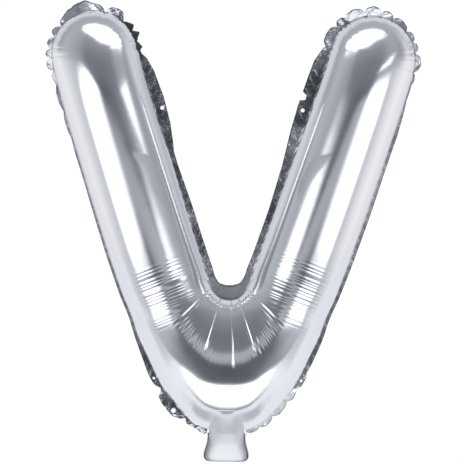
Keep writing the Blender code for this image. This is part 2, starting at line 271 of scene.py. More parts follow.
class HalfBody:
    """Seam lines and film surface of one half, in millimetres, before the film is creased."""

    def __init__(self, sizes):
        self.tip = np.array([sizes.tip_x, sizes.tip_z]) / MM
        self.radius = sizes.radius / MM
        self.dome = sizes.dome / MM
        self.axis = np.array([math.sin(sizes.lean), math.cos(sizes.lean)])
        self.side = np.array([math.cos(sizes.lean), -math.sin(sizes.lean)])
        self.quarter = self.radius * math.pi / 2
        self.middle = self.quarter + LIMB_END + BASE_SECTIONS[-1][0]
        self.stations = self.section_table()
        fine = np.linspace(0.0, self.middle, SEAM_POINTS)
        values = self.sections(fine)
        self.fine = fine
        self.inner_line = values[:, 0:2]
        self.outer_line = values[:, 2:4]
        self.inner_length = self.length_along(self.inner_line)
        self.outer_length = self.length_along(self.outer_line)

    @staticmethod
    def length_along(line):
        """Distance along a line of points."""
        steps = np.linalg.norm(np.diff(line, axis=0), axis=1)
        return np.concatenate([[0.0], np.cumsum(steps)])

    def depth_at(self, reach):
        """Half depth of the tube at a distance from the tip's end along the limb."""
        share = np.clip(1.0 - reach / self.dome, 0.0, 1.0)
        return (self.radius + DEPTH_EXTRA) * (1.0 - share**DOME_POWER) ** (1 / DOME_POWER)

    def section_table(self):
        """Rows of row position, inner point, outer point, depth and bluntness."""
        rows = []
        for position in np.linspace(0.0, self.quarter, TIP_STATIONS + 1)[:-1]:
            angle = math.pi / 2 - position / self.radius
            centre = self.tip + self.axis * self.radius * math.sin(angle)
            reach = self.radius * math.cos(angle)
            depth = self.depth_at(self.radius * (1.0 - math.sin(angle)))
            rows.append((position, *(centre - self.side * reach), *(centre + self.side * reach), depth, 0.0))
        table = np.array(LIMB_SECTIONS)
        for distance in np.linspace(0.0, LIMB_END, LIMB_STATIONS):
            inner_radius = np.interp(distance, table[:, 0], table[:, 1])
            outer_radius = np.interp(distance, table[:, 0], table[:, 2])
            centre = self.tip - self.axis * distance
            inner = centre - self.side * inner_radius
            outer = centre + self.side * outer_radius
            depth = self.depth_at(self.radius + distance)
            rows.append((self.quarter + distance, *inner, *outer, depth, 0.0))
        for position, inner_x, inner_z, outer_x, outer_z, depth, blunt in BASE_SECTIONS:
            rows.append((self.quarter + LIMB_END + position, inner_x, inner_z, outer_x, outer_z, depth, blunt))
        rows = np.array(rows)
        mirrored = rows[-1 - MIRRORED_STATIONS : -1][::-1].copy()
        mirrored[:, 0] = 2 * rows[-1, 0] - mirrored[:, 0]
        mirrored[:, 1] *= -1
        mirrored[:, 3] *= -1
        return np.vstack([rows, mirrored])

    def sections(self, rows):
        """Inner point, outer point, depth and bluntness at row positions."""
        return curve_through(self.stations[:, 0], self.stations[:, 1:], rows)

    def surface(self, rows, angles, facing):
        """Points of the smooth film, one row for each row position."""
        values = self.sections(rows)
        inner = values[:, None, 0:2]
        outer = values[:, None, 2:4]
        depth = values[:, None, 4]
        blunt = values[:, None, 5]
        across = np.sin(angles)[None, :] * np.ones_like(depth)
        flat = (inner + outer) / 2 + (outer - inner) / 2 * across[..., None]
        share = np.clip(blunt, 0.0, 1.0) * smooth_step(0.0, BLUNT_TURN, -angles)[None, :]
        bowed = (1.0 - BLUNT_BOW * across**2) * np.sqrt(np.maximum(1.0 - np.abs(across) ** BLUNT_EDGE, 0.0))
        height = facing * depth * np.maximum(np.cos(angles), 0.0)[None, :] ** (1.0 - share) * bowed**share
        return np.stack([flat[..., 0], height, flat[..., 1]], axis=-1), across

    def seam_place(self, rows, across):
        """Place along the seam line that each point is nearest to: 0 at the tip's end, negative inside."""
        inner = np.interp(rows, self.fine, self.inner_length)[:, None]
        outer = np.interp(rows, self.fine, self.outer_length)[:, None]
        straight = np.where(across > 0, outer, -inner)
        angle = math.pi / 2 - np.minimum(rows, self.quarter) / self.radius
        lengthwise = np.sin(angle)[:, None]
        crosswise = across * np.cos(angle)[:, None]
        round_end = self.radius * np.arctan2(crosswise, lengthwise + TINY)
        return np.where(rows[:, None] < self.quarter, round_end, straight)


def film_normals(points, body, facing):
    """Outward directions of a half film's points."""
    along = np.gradient(points, axis=0)
    across = np.gradient(points, axis=1)
    normals = np.cross(along, across)
    lengths = np.linalg.norm(normals, axis=2, keepdims=True)
    normals = normals / np.maximum(lengths, TINY)
    middle = normals.shape[1] // 2
    if normals[len(normals) // 2, middle, 1] * facing < 0:
        normals = -normals
    normals[0, :] = (body.axis[0], 0.0, body.axis[1])
    return normals


# Scallop valleys round the tips, in millimetres along the seam: side, place, depth, width
TIP_FOLDS = (
    (1, -54.0, 1.3, 1.6), (1, -47.5, 0.5, 1.0), (1, -38.0, 1.0, 1.2), (1, -29.5, 1.0, 1.2),
    (1, -16.0, 1.1, 1.4), (1, -4.5, 1.3, 1.4), (1, 5.0, 1.0, 1.2), (1, 18.5, 0.9, 1.2), (1, 28.0, 0.8, 1.1),
    (1, 36.0, 1.3, 1.4), (1, 41.5, 0.4, 0.9), (1, 51.0, 1.1, 1.4), (1, 61.0, 0.4, 1.2), (-1, -58.0, 1.2, 1.5),
    (-1, -52.0, 0.6, 1.0), (-1, -43.0, 0.8, 1.1), (-1, -33.7, 0.9, 1.2), (-1, -18.0, 1.3, 1.3),
    (-1, -8.0, 0.4, 1.0), (-1, 6.0, 0.5, 1.0), (-1, 19.0, 1.0, 1.2), (-1, 28.5, 1.2, 1.3),
    (-1, 37.5, 0.8, 1.2), (-1, 45.0, 0.9, 1.3), (-1, 54.5, 1.2, 1.4), (-1, 66.0, 0.5, 1.2),
)
# Scallop valleys round the base
BASE_FOLDS = (
    (1, 307.0, 0.7, 1.3), (1, 319.0, 0.8, 1.3), (1, 334.5, 0.9, 1.3), (1, 347.0, 0.8, 1.2),
    (-1, 309.0, 0.6, 1.3), (-1, 323.0, 0.7, 1.3), (-1, 339.0, 0.9, 1.3), (-1, 350.0, 0.8, 1.2),
)
# Fine puckers of the film along the seam, in millimetres: pitch, height, and how far up the film they reach
PUCKER_SEED = 11
PUCKER_PITCH = 3.0
PUCKER_HEIGHT = 0.28
PUCKER_REACH = 4.5
# Fainter puckers that go on up the film: share of the height, and how far up they reach
PUCKER_FAINT = 0.4
PUCKER_FAINT_REACH = 13.0
# Where the puckers grow weaker or stronger along the seam: start, full, by how much
STRAIGHT_CALM = (56.0, 66.0, 0.75)
BASE_BUSY = (285.0, 312.0, 0.5)
INNER_CALM = (60.0, 80.0, 0.8)
# Scallop valleys: height over which they widen and up to which they reach, and the narrow fold beyond them
VALLEY_WIDENS = 9.0
VALLEY_REACH = 6.0
FOLD_DEPTH = 0.30
FOLD_WIDTH = 0.9
FOLD_REACH = 19.0


def growing(place, start, full, amount):
    """An amount that sets in smoothly between two places along the seam."""
    return amount * smooth_step(start, full, place)


def seam_relief(place, height, side, facing):
    """How far the film stands out near the seam line: fine puckers and the valleys between scallops."""
    seed = PUCKER_SEED + side * 3 + facing
    curved = 1.0 - growing(np.abs(place), *STRAIGHT_CALM) + growing(place, *BASE_BUSY)
    curved = curved * (1.0 - growing(-place, *INNER_CALM))
    fading = np.exp(-height / PUCKER_REACH) + PUCKER_FAINT * np.exp(-((height / PUCKER_FAINT_REACH) ** 4))
    relief = PUCKER_HEIGHT * ripple(place, PUCKER_PITCH, seed) * curved * fading
    for fold_side, fold_place, depth, width in TIP_FOLDS + BASE_FOLDS:
        if fold_side == side:
            away = np.abs(place - fold_place)
            spread = width * (1.0 + height / VALLEY_WIDENS)
            relief = relief - depth * np.exp(-away / spread) * np.exp(-height / VALLEY_REACH)
            fold = FOLD_DEPTH * depth * np.exp(-((away / FOLD_WIDTH) ** 2))
            relief = relief - fold * np.exp(-((height / FOLD_REACH) ** 4))
    return relief


def limb_pleats(body, points, rows, across, side, facing):
    """Fine pleats across the lower limb, cut off where the fan begins."""
    relief = np.zeros_like(across)
    above_fan = (1.0 - smooth_step(*LIMB_PLEAT_CUT, rows))[:, None]
    for pleat_side, start, end, pitch, lean, inner, outer, tall in LIMB_PLEATS:
        if pleat_side != side:
            continue
        lean = math.radians(lean)
        inwards = body.tip[0] - points[..., 0]
        below = body.tip[1] - points[..., 2]
        down = inwards * math.sin(lean) + below * math.cos(lean)
        band = ripple(down, pitch, LIMB_PLEAT_SEED + side + 5 * facing, LIMB_PLEAT_UNEVEN)
        ends = window(down, start, end, *LIMB_PLEAT_ENDS) * above_fan
        relief = relief + tall * band * ends * window(across, inner, outer, *LIMB_PLEAT_SIDES)
    return relief


def fan_relief(rows, across, spacing, side, facing):
    """Creases of the fan under the crotch, the other way round at the back, with short pleats at both ends."""
    relief = np.zeros_like(across)
    for crease_side, row, slant, start, end, depth, width, dent in FAN_CREASES:
        if -facing * crease_side != side:
            continue
        centre = row + slant * (across + SLANT_MIDDLE)
        away = np.abs(rows[:, None] - centre) * spacing
        ridge = np.exp(-(((away - RIDGE_DISTANCE * width) / (RIDGE_WIDTH * width)) ** 2))
        shape = np.exp(-away / width) - RIDGE_HEIGHT * ridge
        relief = relief - depth * shape * window(across, start, end, *CREASE_ENDS)
        relief = relief - dent * np.exp(-((away / DENT_WIDTH) ** 2) - ((across - end) / DENT_LENGTH) ** 2)
    for pleat_side, first, last, pitch, inner, outer, tall in FAN_PLEATS:
        if pleat_side != side:
            continue
        ends = window(rows, first, last, *FAN_PLEAT_ENDS)[:, None]
        band = ripple(rows, pitch, FAN_PLEAT_SEED + side + 5 * facing, FAN_PLEAT_UNEVEN)[:, None]
        relief = relief + tall * band * ends * window(across, inner, outer, *FAN_PLEAT_SIDES)
    fold = np.exp(-(((across - FAN_EDGE) / FAN_EDGE_WIDTH) ** 2)) * smooth_step(*FAN_EDGE_START, rows)[:, None]
    return relief - FAN_EDGE_DEPTH * fold


def row_positions(body):
    """Row positions from the tip to the middle of the base."""
    rows = [0.0]
    start = 0.0
    for end, spacing in ROW_ZONES:
        end = min(end, body.middle)
        count = max(1, round((end - start) / spacing))
        rows.extend(np.linspace(start, end, count + 1)[1:])
        start = end
    rows[-1] = body.middle
    rows = np.array(rows)
    for crease in sorted({crease[1] for crease in FAN_CREASES if crease[2] == 0.0}):
        rows = rows[np.abs(rows - crease) > CREASE_REACH]
        rows = np.concatenate([rows, np.linspace(crease - CREASE_REACH, crease + CREASE_REACH, CREASE_ROWS)])
    return np.sort(rows)


def half_film(body, rows, angles, side, facing):
    """Creased film of one half, as seen on the right, in millimetres."""
    points, across = body.surface(rows, angles, facing)
    normals = film_normals(points, body, facing)
    place = body.seam_place(rows, across)
    height = np.abs(points[..., 1])
    spacing = np.linalg.norm(np.gradient(points, rows, axis=0), axis=2)
    relief = seam_relief(place, height, side, facing)
    relief = relief + limb_pleats(body, points, rows, across, side, facing)
    relief = relief + fan_relief(rows, across, spacing, side, facing)
    points = points + normals * relief[..., None]
    rim = np.cos(angles) < 1e-6
    points[:, rim, 1] = facing * SEAM_GAP
    points[0, :, 1] = facing * SEAM_GAP
    return points


def new_grid(name, wide, long):
    """A mesh grid of wide by long squares, and the column and row of each of its points."""
    bm = bmesh.new()
    bm.loops.layers.uv.new("Place")
    bmesh.ops.create_grid(bm, x_segments=wide, y_segments=long, size=1.0, calc_uvs=True)
    mesh = bpy.data.meshes.new(name)
    bm.to_mesh(mesh)
    bm.free()
    places = np.empty(len(mesh.vertices) * 3)
    mesh.vertices.foreach_get("co", places)
    places = places.reshape(-1, 3)
    columns = np.rint((places[:, 0] + 1.0) / 2.0 * wide).astype(int)
    lines = np.rint((places[:, 1] + 1.0) / 2.0 * long).astype(int)
    return mesh, columns, lines


def set_points(mesh, points):
    """Gives a mesh its points, in metres."""
    mesh.vertices.foreach_set("co", np.ascontiguousarray(points, dtype=np.float64).ravel())
    mesh.update()


def merge_points(mesh):
    """Closes seams and poles."""
    bm = bmesh.new()
    bm.from_mesh(mesh)
    bmesh.ops.remove_doubles(bm, verts=bm.verts, dist=MERGE)
    bmesh.ops.dissolve_degenerate(bm, edges=bm.edges, dist=MERGE / 4)
    bm.to_mesh(mesh)
    bm.free()
    mesh.update()


def turn_outwards(mesh, facing):
    """Turns the faces so that, taken together, they look to the front (-1) or to the back (1)."""
    total = sum((face.normal * face.area for face in mesh.polygons), Vector())
    if total.y * facing < 0:
        mesh.flip_normals()


def surface_piece(name, points, facing, finish, thickness, offset=-1.0):
    """A thin piece from rows of points in metres; with an offset of 0 they lie in the middle of its wall."""
    long = len(points) - 1
    wide = len(points[0]) - 1
    mesh, columns, lines = new_grid(name, wide, long)
    set_points(mesh, points[lines, columns])
    merge_points(mesh)
    turn_outwards(mesh, facing)
    mesh.shade_smooth()
    mesh.materials.append(finish_of(finish))
    piece = bpy.data.objects.new(name, mesh)
    bpy.context.scene.collection.objects.link(piece)
    wall = piece.modifiers.new("Wall", "SOLIDIFY")
    wall.thickness = thickness
    wall.offset = offset
    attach(piece, "root")
    return piece


def whole_film(body, facing):
    """Rows of the whole film from the right tip through the base to the left tip, in millimetres."""
    rows = row_positions(body)
    angles = np.linspace(-math.pi / 2, math.pi / 2, ACROSS + 1)
    right = half_film(body, rows, angles, 1, facing)
    left = half_film(body, rows, angles, -1, facing)
    left[..., 0] *= -1
    blend = smooth_step(body.middle - HALVES_BLEND, body.middle, rows)[:, None, None] / 2
    mirror = np.array([-1.0, 1.0, 1.0])
    right_blended = right * (1 - blend) + left * mirror * blend
    left_blended = left * (1 - blend) + right * mirror * blend
    right_blended[-1, :, 0] = 0.0
    return np.concatenate([right_blended, left_blended[:-1][::-1]], axis=0)


class NodeBench:
    """Adds and links the nodes of one tree. A value is a number, a colour or a socket of another node."""

    def __init__(self, tree):
        self.nodes = tree.nodes
        self.links = tree.links

    def feed(self, socket, value):
        """Sets an input, or links it to another node."""
        if isinstance(value, bpy.types.NodeSocket):
            self.links.new(value, socket)
        else:
            socket.default_value = value

    def add(self, kind, inputs):
        """A node with these inputs, by name or number."""
        node = self.nodes.new("ShaderNode" + kind)
        for name, value in inputs.items():
            self.feed(node.inputs[name], value)
        return node

    def coordinates(self, kind):
        """One kind of texture coordinate."""
        return self.add("TexCoord", {}).outputs[kind]

    def parts(self, vector):
        """X, Y and Z of a vector."""
        return self.add("SeparateXYZ", {0: vector}).outputs

    def noise(self, place, scale, detail):
        """A noise texture."""
        return self.add("TexNoise", {"Vector": place, "Scale": scale, "Detail": detail}).outputs["Fac"]

    def math(self, operation, first, second=0.0):
        """A calculation with one or two values."""
        node = self.add("Math", {0: first, 1: second})
        node.operation = operation
        return node.outputs[0]

    def chain(self, operation, *values):
        """The same calculation with one value after another."""
        result = values[0]
        for value in values[1:]:
            result = self.math(operation, result, value)
        return result

    def rise(self, value, low, high):
        """0 below low, 1 above high and a smooth rise between; a fall where low is the larger."""
        node = self.add("MapRange", {"Value": value, "From Min": low, "From Max": high})
        node.interpolation_type = "SMOOTHSTEP"
        return node.outputs[0]

    def mix(self, share, first, second):
        """The first colour where the share is 0, the second where it is 1."""
        node = self.nodes.new("ShaderNodeMix")
        node.data_type = "RGBA"
        for socket, value in ((0, share), (6, first), (7, second)):
            self.feed(node.inputs[socket], value)
        return node.outputs[2]

    def own_map(self):
        """Share across and share along a piece, from its own map."""
        place = self.nodes.new("ShaderNodeUVMap")
        place.uv_map = "Place"
        parts = self.parts(place.outputs["UV"])
        return parts["X"], parts["Y"]


# Finishes: wrinkle scale, haze, haze variation, bump strength, bump distance in metres
FINISHES = {
    "Silver Film": (55.0, 0.11, 0.06, 0.12, 0.0006),
    "Sealed Edge": (420.0, 0.16, 0.16, 0.35, 0.0006),
    "Tail Film": (90.0, 0.44, 0.08, 0.30, 0.0006),
    "Valve Film": (120.0, 0.12, 0.12, 0.20, 0.0004),
}
VALVE_ALPHA = 0.45
# Height of the wrinkles: broad scale and detail, fine detail and the fine ones' share
BROAD_SCALE = 30.0
BROAD_DETAIL = 2.0
FINE_DETAIL = 4.0
FINE_SHARE = 0.35

# Painted shade of the sealed edge: a dark rim by share across it, and dark flecks in its crinkles by height of
# the wrinkles
PAINTED_RIM_FADE = (0.80, 0.96)
PAINTED_FLECKS = 0.45
FLECK_HEIGHTS = (0.50, 0.90)
PAINTED_DEEP_FLECKS = 0.85
DEEP_FLECK_HEIGHTS = (0.50, 0.74)
# Painted shade: dark stretches of the edge by share along it, from the right of the neck to the left: start,
# full, leave, end. The last one is still dark where the edge ends.
PAINTED_SHADE_STRETCHES = (
    (0.325, 0.350, 0.460, 0.480),
    (0.520, 0.540, 0.682, 0.690),
    (0.925, 0.945, 1.100, 1.200),
)
# Painted shade of the tail towards its side seals, by share from its middle and along it, and towards its
# mouth
TAIL_PAINTED_SHADE = 0.55
TAIL_SIDES = (0.34, 0.50)
TAIL_SIDES_START = (0.40, 0.60)
TAIL_MOUTH = (0.86, 1.0)
# Share along the tail over which its film turns from the body's into its own, and the haze it starts with
TAIL_FADE = (0.04, 0.34)
TAIL_FADE_HAZE = 0.30


def film_wrinkle_group():
    """Node group with the height of fine wrinkles and a roughness that varies with them."""
    group = bpy.data.node_groups.new("Film Wrinkles", "ShaderNodeTree")
    for label in ("Wrinkle Scale", "Haze", "Haze Variation"):
        group.interface.new_socket(name=label, in_out="INPUT", socket_type="NodeSocketFloat")
    for label in ("Height", "Roughness"):
        group.interface.new_socket(name=label, in_out="OUTPUT", socket_type="NodeSocketFloat")
    bench = NodeBench(group)
    inputs = bench.nodes.new("NodeGroupInput").outputs
    outputs = bench.nodes.new("NodeGroupOutput").inputs
    place = bench.coordinates("Object")
    broad = bench.noise(place, BROAD_SCALE, BROAD_DETAIL)
    fine = bench.noise(place, inputs["Wrinkle Scale"], FINE_DETAIL)
    bench.feed(outputs["Height"], bench.math("ADD", bench.math("MULTIPLY", fine, FINE_SHARE), broad))
    haze = bench.math("ADD", bench.math("MULTIPLY", fine, inputs["Haze Variation"]), inputs["Haze"])
    bench.feed(outputs["Roughness"], haze)
    return group


def sealed_painted_shade(bench, height):
    """Painted shade of the sealed edge: flecked in its crinkles, darkest on its outer rim, between the limbs
    and low on the left.
    """
    across, along = bench.own_map()
    # Painted shade: a dark outer rim, dark flecks in the crinkles, and dark stretches between the limbs and
    # low on the left
    rim = bench.rise(across, *PAINTED_RIM_FADE)
    fleck_shade = bench.math("MULTIPLY", bench.rise(height, *FLECK_HEIGHTS), PAINTED_FLECKS)
    stretches = [
        bench.math("MULTIPLY", bench.rise(along, start, full), bench.rise(along, end, leave))
        for start, full, leave, end in PAINTED_SHADE_STRETCHES
    ]
    deep_shade = bench.chain("ADD", *stretches)
    deep_shade = bench.chain("MULTIPLY", deep_shade, bench.rise(height, *DEEP_FLECK_HEIGHTS), PAINTED_DEEP_FLECKS)
    return bench.chain("MAXIMUM", rim, fleck_shade, deep_shade)


def tail_painted_shade(bench):
    """Painted shade of the tail: darker towards its side seals and its mouth."""
    across, along = bench.own_map()
    aside = bench.math("ABSOLUTE", bench.math("SUBTRACT", across, 0.5))
    # Painted shade: darker towards the side seals below the neck and towards the mouth
    below = bench.rise(along, *TAIL_SIDES_START)
    sides = bench.chain("MULTIPLY", bench.rise(aside, *TAIL_SIDES), TAIL_PAINTED_SHADE, below)
    mouth = bench.math("MULTIPLY", bench.rise(along, *TAIL_MOUTH), TAIL_PAINTED_SHADE)
    return bench.math("MAXIMUM", sides, mouth)


def film_material(name, colour):
    """Metallised film with fine wrinkles: the material, its bench, its shader's inputs and its wrinkles."""
    scale, haze, variation, strength, distance = FINISHES[name]
    material = bpy.data.materials.new(name)
    material.use_nodes = True
    bench = NodeBench(material.node_tree)
    shader = bench.nodes["Principled BSDF"].inputs
    group = bench.nodes.new("ShaderNodeGroup")
    group.node_tree = bpy.data.node_groups.get("Film Wrinkles") or film_wrinkle_group()
    bench.feed(group.inputs["Wrinkle Scale"], scale)
    bench.feed(group.inputs["Haze"], haze)
    bench.feed(group.inputs["Haze Variation"], variation)
    wrinkles = group.outputs
    bump = bench.add("Bump", {"Strength": strength, "Distance": distance, "Height": wrinkles["Height"]})
    bench.feed(shader["Base Color"], (*colour, 1.0))
    bench.feed(shader["Metallic"], 1.0)
    bench.feed(shader["Normal"], bump.outputs["Normal"])
    bench.feed(shader["Roughness"], wrinkles["Roughness"])
    return material, bench, shader, wrinkles


def silver_material(name, colours):
    """Mirror film of the body."""
    return film_material(name, colours.silver)[0]


def sealed_material(name, colours):
    """Crinkled film of the sealed edge, with painted shade: dark flecks, a dark outer rim and dark stretches.
    """
    material, bench, shader, wrinkles = film_material(name, colours.sealed)
    shade = sealed_painted_shade(bench, wrinkles["Height"])
    # Painted shade: the edge's colour is mixed towards the rim colour where it is shaded
    bench.feed(shader["Base Color"], bench.mix(shade, (*colours.sealed, 1.0), (*colours.rim, 1.0)))
    return material


def tail_material(name, colours):
    """Hazy film of the tail, as bright as the body's where it leaves it, with painted shade at its sides and
    mouth.
    """
    material, bench, shader, wrinkles = film_material(name, colours.tail)
    away = bench.rise(bench.own_map()[1], *TAIL_FADE)
    tone = bench.mix(away, (*colours.silver, 1.0), (*colours.tail, 1.0))
    # Painted shade: the tail's tone is mixed towards the rim colour at its sides and mouth
    bench.feed(shader["Base Color"], bench.mix(tail_painted_shade(bench), tone, (*colours.rim, 1.0)))
    haze = bench.math("ADD", bench.math("MULTIPLY", away, 1.0 - TAIL_FADE_HAZE), TAIL_FADE_HAZE)
    bench.feed(shader["Roughness"], bench.math("MULTIPLY", haze, wrinkles["Roughness"]))
    return material


def valve_material(name, colours):
    """Thin clear film of the valve."""
    material, bench, shader, _ = film_material(name, colours.clear)
    bench.feed(shader["Metallic"], 0.0)
    bench.feed(shader["Alpha"], VALVE_ALPHA)
    return material


def finish_of(name):
    """The finish of this name, made the first time that it is asked for."""
    makers = {
        "Silver Film": silver_material,
        "Sealed Edge": sealed_material,
        "Tail Film": tail_material,
        "Valve Film": valve_material,
    }
    return bpy.data.materials.get(name) or makers[name](name, bpy.context.scene.balloon_colours)


# Width of the sealed edge along the seam line, in millimetres: place, width. Both sides share the crotch's.
CROTCH_EDGE = ((-262.5, 9.2), (-259.5, 9.1), (-256.5, 8.9), (-253.5, 8.3), (-250.5, 7.4), (-247.5, 6.3))
RIGHT_EDGE = (
    *CROTCH_EDGE, (-244.5, 5.2), (-236.0, 4.4), (-222.0, 3.9), (-184.0, 3.8), (-150.0, 5.2), (-123.0, 7.8),
    (-104.0, 8.8), (-99.0, 8.8), (-97.6, 5.0), (-93.6, 5.0), (-92.2, 8.8), (-80.0, 8.8), (-67.0, 8.4),
    (-58.0, 5.8), (-54.0, 5.0), (-50.0, 6.8), (-46.0, 7.4), (-41.5, 6.8), (-38.0, 4.8), (-36.0, 6.6),
    (-33.5, 7.0), (-31.0, 6.2), (-29.5, 4.6), (-27.5, 6.8), (-23.0, 7.8), (-18.5, 6.6), (-16.0, 4.2),
    (-14.0, 6.6), (-10.0, 7.8), (-6.5, 6.8), (-4.5, 3.4), (-2.5, 5.4), (0.5, 5.8), (3.5, 4.4), (5.0, 2.8),
    (7.5, 4.4), (11.0, 4.6), (15.5, 3.4), (18.5, 1.6), (20.5, 3.2), (23.0, 3.6), (26.0, 2.8), (28.0, 1.4),
    (30.0, 3.0), (32.5, 3.2), (34.5, 2.6), (36.0, 1.2), (39.0, 3.6), (43.5, 4.4), (48.0, 3.4), (51.0, 1.0),
    (56.0, 1.8), (62.0, 1.2), (73.0, 0.9), (82.0, 1.8), (100.0, 2.4), (130.0, 2.2), (160.0, 2.6),
    (200.0, 2.4), (240.0, 2.2), (263.0, 2.6), (285.0, 3.4), (293.0, 2.8), (296.5, 4.2), (303.5, 4.2),
    (307.0, 2.4), (310.0, 3.6), (315.0, 4.4), (319.0, 2.6), (323.0, 3.6), (330.0, 4.2), (334.5, 2.2),
    (338.5, 3.4), (343.5, 3.4), (347.0, 1.8), (350.5, 3.0), (354.0, 3.2), (358.0, 1.6), (371.7, 1.6),
)
LEFT_EDGE = (
    *CROTCH_EDGE, (-244.5, 5.4), (-236.0, 4.8), (-222.0, 4.4), (-184.0, 4.2), (-150.0, 2.9), (-140.0, 3.0),
    (-131.0, 4.8), (-118.0, 6.8), (-98.0, 7.8), (-77.0, 6.6), (-66.0, 4.2), (-61.5, 1.6), (-59.5, 1.6),
    (-57.2, 4.4), (-54.5, 2.6), (-52.0, 1.6), (-49.5, 2.2), (-46.2, 5.6), (-44.5, 3.0), (-43.0, 2.0),
    (-40.0, 4.6), (-37.5, 3.0), (-33.7, 1.4), (-31.5, 3.0), (-29.5, 5.8), (-25.5, 6.4), (-21.0, 5.2),
    (-19.2, 3.2), (-18.0, 0.8), (-16.6, 2.6), (-13.8, 4.8), (-10.8, 5.4), (-4.0, 8.8), (4.0, 7.8), (8.0, 6.8),
    (14.0, 4.4), (17.2, 3.4), (19.0, 1.6), (21.5, 3.2), (25.0, 4.2), (27.0, 3.2), (28.5, 1.6), (31.0, 3.6),
    (34.0, 4.2), (36.5, 3.0), (37.5, 1.8), (39.5, 3.8), (42.0, 4.4), (44.0, 3.0), (45.0, 1.8), (47.5, 4.0),
    (50.5, 4.4), (53.0, 3.0), (54.5, 1.2), (58.0, 2.2), (61.0, 2.2), (64.0, 1.2), (73.0, 2.6), (80.0, 2.4),
    (86.0, 0.9), (92.0, 2.0), (101.0, 2.0), (108.0, 0.9), (118.0, 1.4), (140.0, 1.2), (180.0, 1.6),
    (230.0, 1.8), (263.0, 2.0), (285.0, 3.6), (295.0, 4.4), (303.5, 4.2), (309.0, 1.8), (311.5, 2.4),
    (313.5, 6.0), (321.0, 7.4), (331.0, 7.0), (336.0, 4.4), (338.5, 1.8), (342.0, 3.2), (346.0, 2.0),
    (350.0, 3.0), (356.0, 4.0), (358.5, 2.0), (371.7, 2.0),
)
# Waves and crinkles of the sealed edge, in millimetres: pitch, height, slant
EDGE_WAVES = ((41.0, 0.15, 0.0), (17.0, 0.22, 0.6), (8.5, 0.25, -0.9))
EDGE_CRINKLES = ((3.4, 0.42, 1.1), (5.2, 0.5, -1.3), (2.3, 0.22, 0.2))
WAVE_SEED = 70
CRINKLE_SEED = 90
# Width over which the waves grow with the edge, and the width at which they have their own height
WAVE_WIDTH = 6.0
WAVE_FULL = 5.0
# Smooth length to both sides of the crotch's middle; the crinkles come back over as much again
CROTCH_CALM = 16.0
# How steeply the edge leans back: everywhere, along the base by side, and where the base's lean sets in
EDGE_LEAN = 0.04
BASE_LEANS = {1: 0.60, -1: 0.12}
BASE_LEAN_START = (300.0, 315.0)
# How steeply it leans back round each tip, by stretches of the seam line: start, end, lean
TIP_LEANS = {
    1: ((-54.0, -36.0, 0.30), (-28.0, 8.0, 0.40), (12.0, 44.0, 0.30)),
    -1: ((-58.0, -36.0, 0.05), (-26.0, -12.0, 0.26), (-8.0, 1.0, 0.30), (5.0, 14.0, 0.62), (20.0, 60.0, 0.30)),
}
TIP_LEAN_ENDS = (4.0, 4.0)
# Stretches that are less crinkled, by side: start, end, how much less, soft ends
CALM_STRETCHES = {
    1: ((70.0, 285.0, 0.6, 12.0), (-56.0, 62.0, 0.5, 4.0)),
    -1: ((70.0, 285.0, 0.6, 12.0), (-6.0, 12.0, 0.85, 3.0)),
}
# Punched eyelets: x, z, diameter, in millimetres
EYELETS = (
    (107.7, 344.5, 3.0), (-107.7, 344.5, 3.0), (53.3, 267.9, 3.0), (-53.3, 267.9, 3.0),
    (55.9, 62.5, 2.0), (-55.9, 62.5, 2.0), (-40.6, 38.2, 3.5),
)
EYELET_SIDES = 20
PUNCH_LENGTH = 0.02
EDGE_ACROSS = 12
EDGE_STEP = 0.6
# How far the edge goes in between the films, in millimetres
EDGE_TUCK = 0.5
# Distance to both sides over which the seam line's direction is read, and its points past the crotch
NORMAL_STEP = 2.5
BEYOND = 200
# Place along the seam line where the tail's neck begins
NECK_PLACE = 357.5


def edge_lines(body):
    """Seam line of one half from past the crotch to the neck, and the place of each of its points."""
    beyond = body.inner_line[-BEYOND:-1] * (-1.0, 1.0)
    line = np.concatenate([beyond, body.inner_line[::-1], body.outer_line[1:]])
    past = body.inner_length[-BEYOND:-1] - 2 * body.inner_length[-1]
    marks = np.concatenate([past, -body.inner_length[::-1], body.outer_length[1:]])
    return line, marks


def edge_waves(places, widths, shares, side):
    """Waves and crinkles of the sealed edge, by share across it and place along it."""
    draw = np.random.default_rng(WAVE_SEED + side)
    waves = np.zeros((len(shares), len(places)))
    for pitch, tall, slant in EDGE_WAVES:
        along = places[None, :] + slant * shares[:, None] * widths[None, :]
        waves += tall * np.sin(2 * math.pi * along / pitch + draw.uniform(0, PHASE))
    for pitch, tall, slant in EDGE_CRINKLES:
        along = places[None, :] + slant * shares[:, None] * widths[None, :]
        waves += tall * ripple(along, pitch, CRINKLE_SEED + side + round(pitch * 10))
    return waves


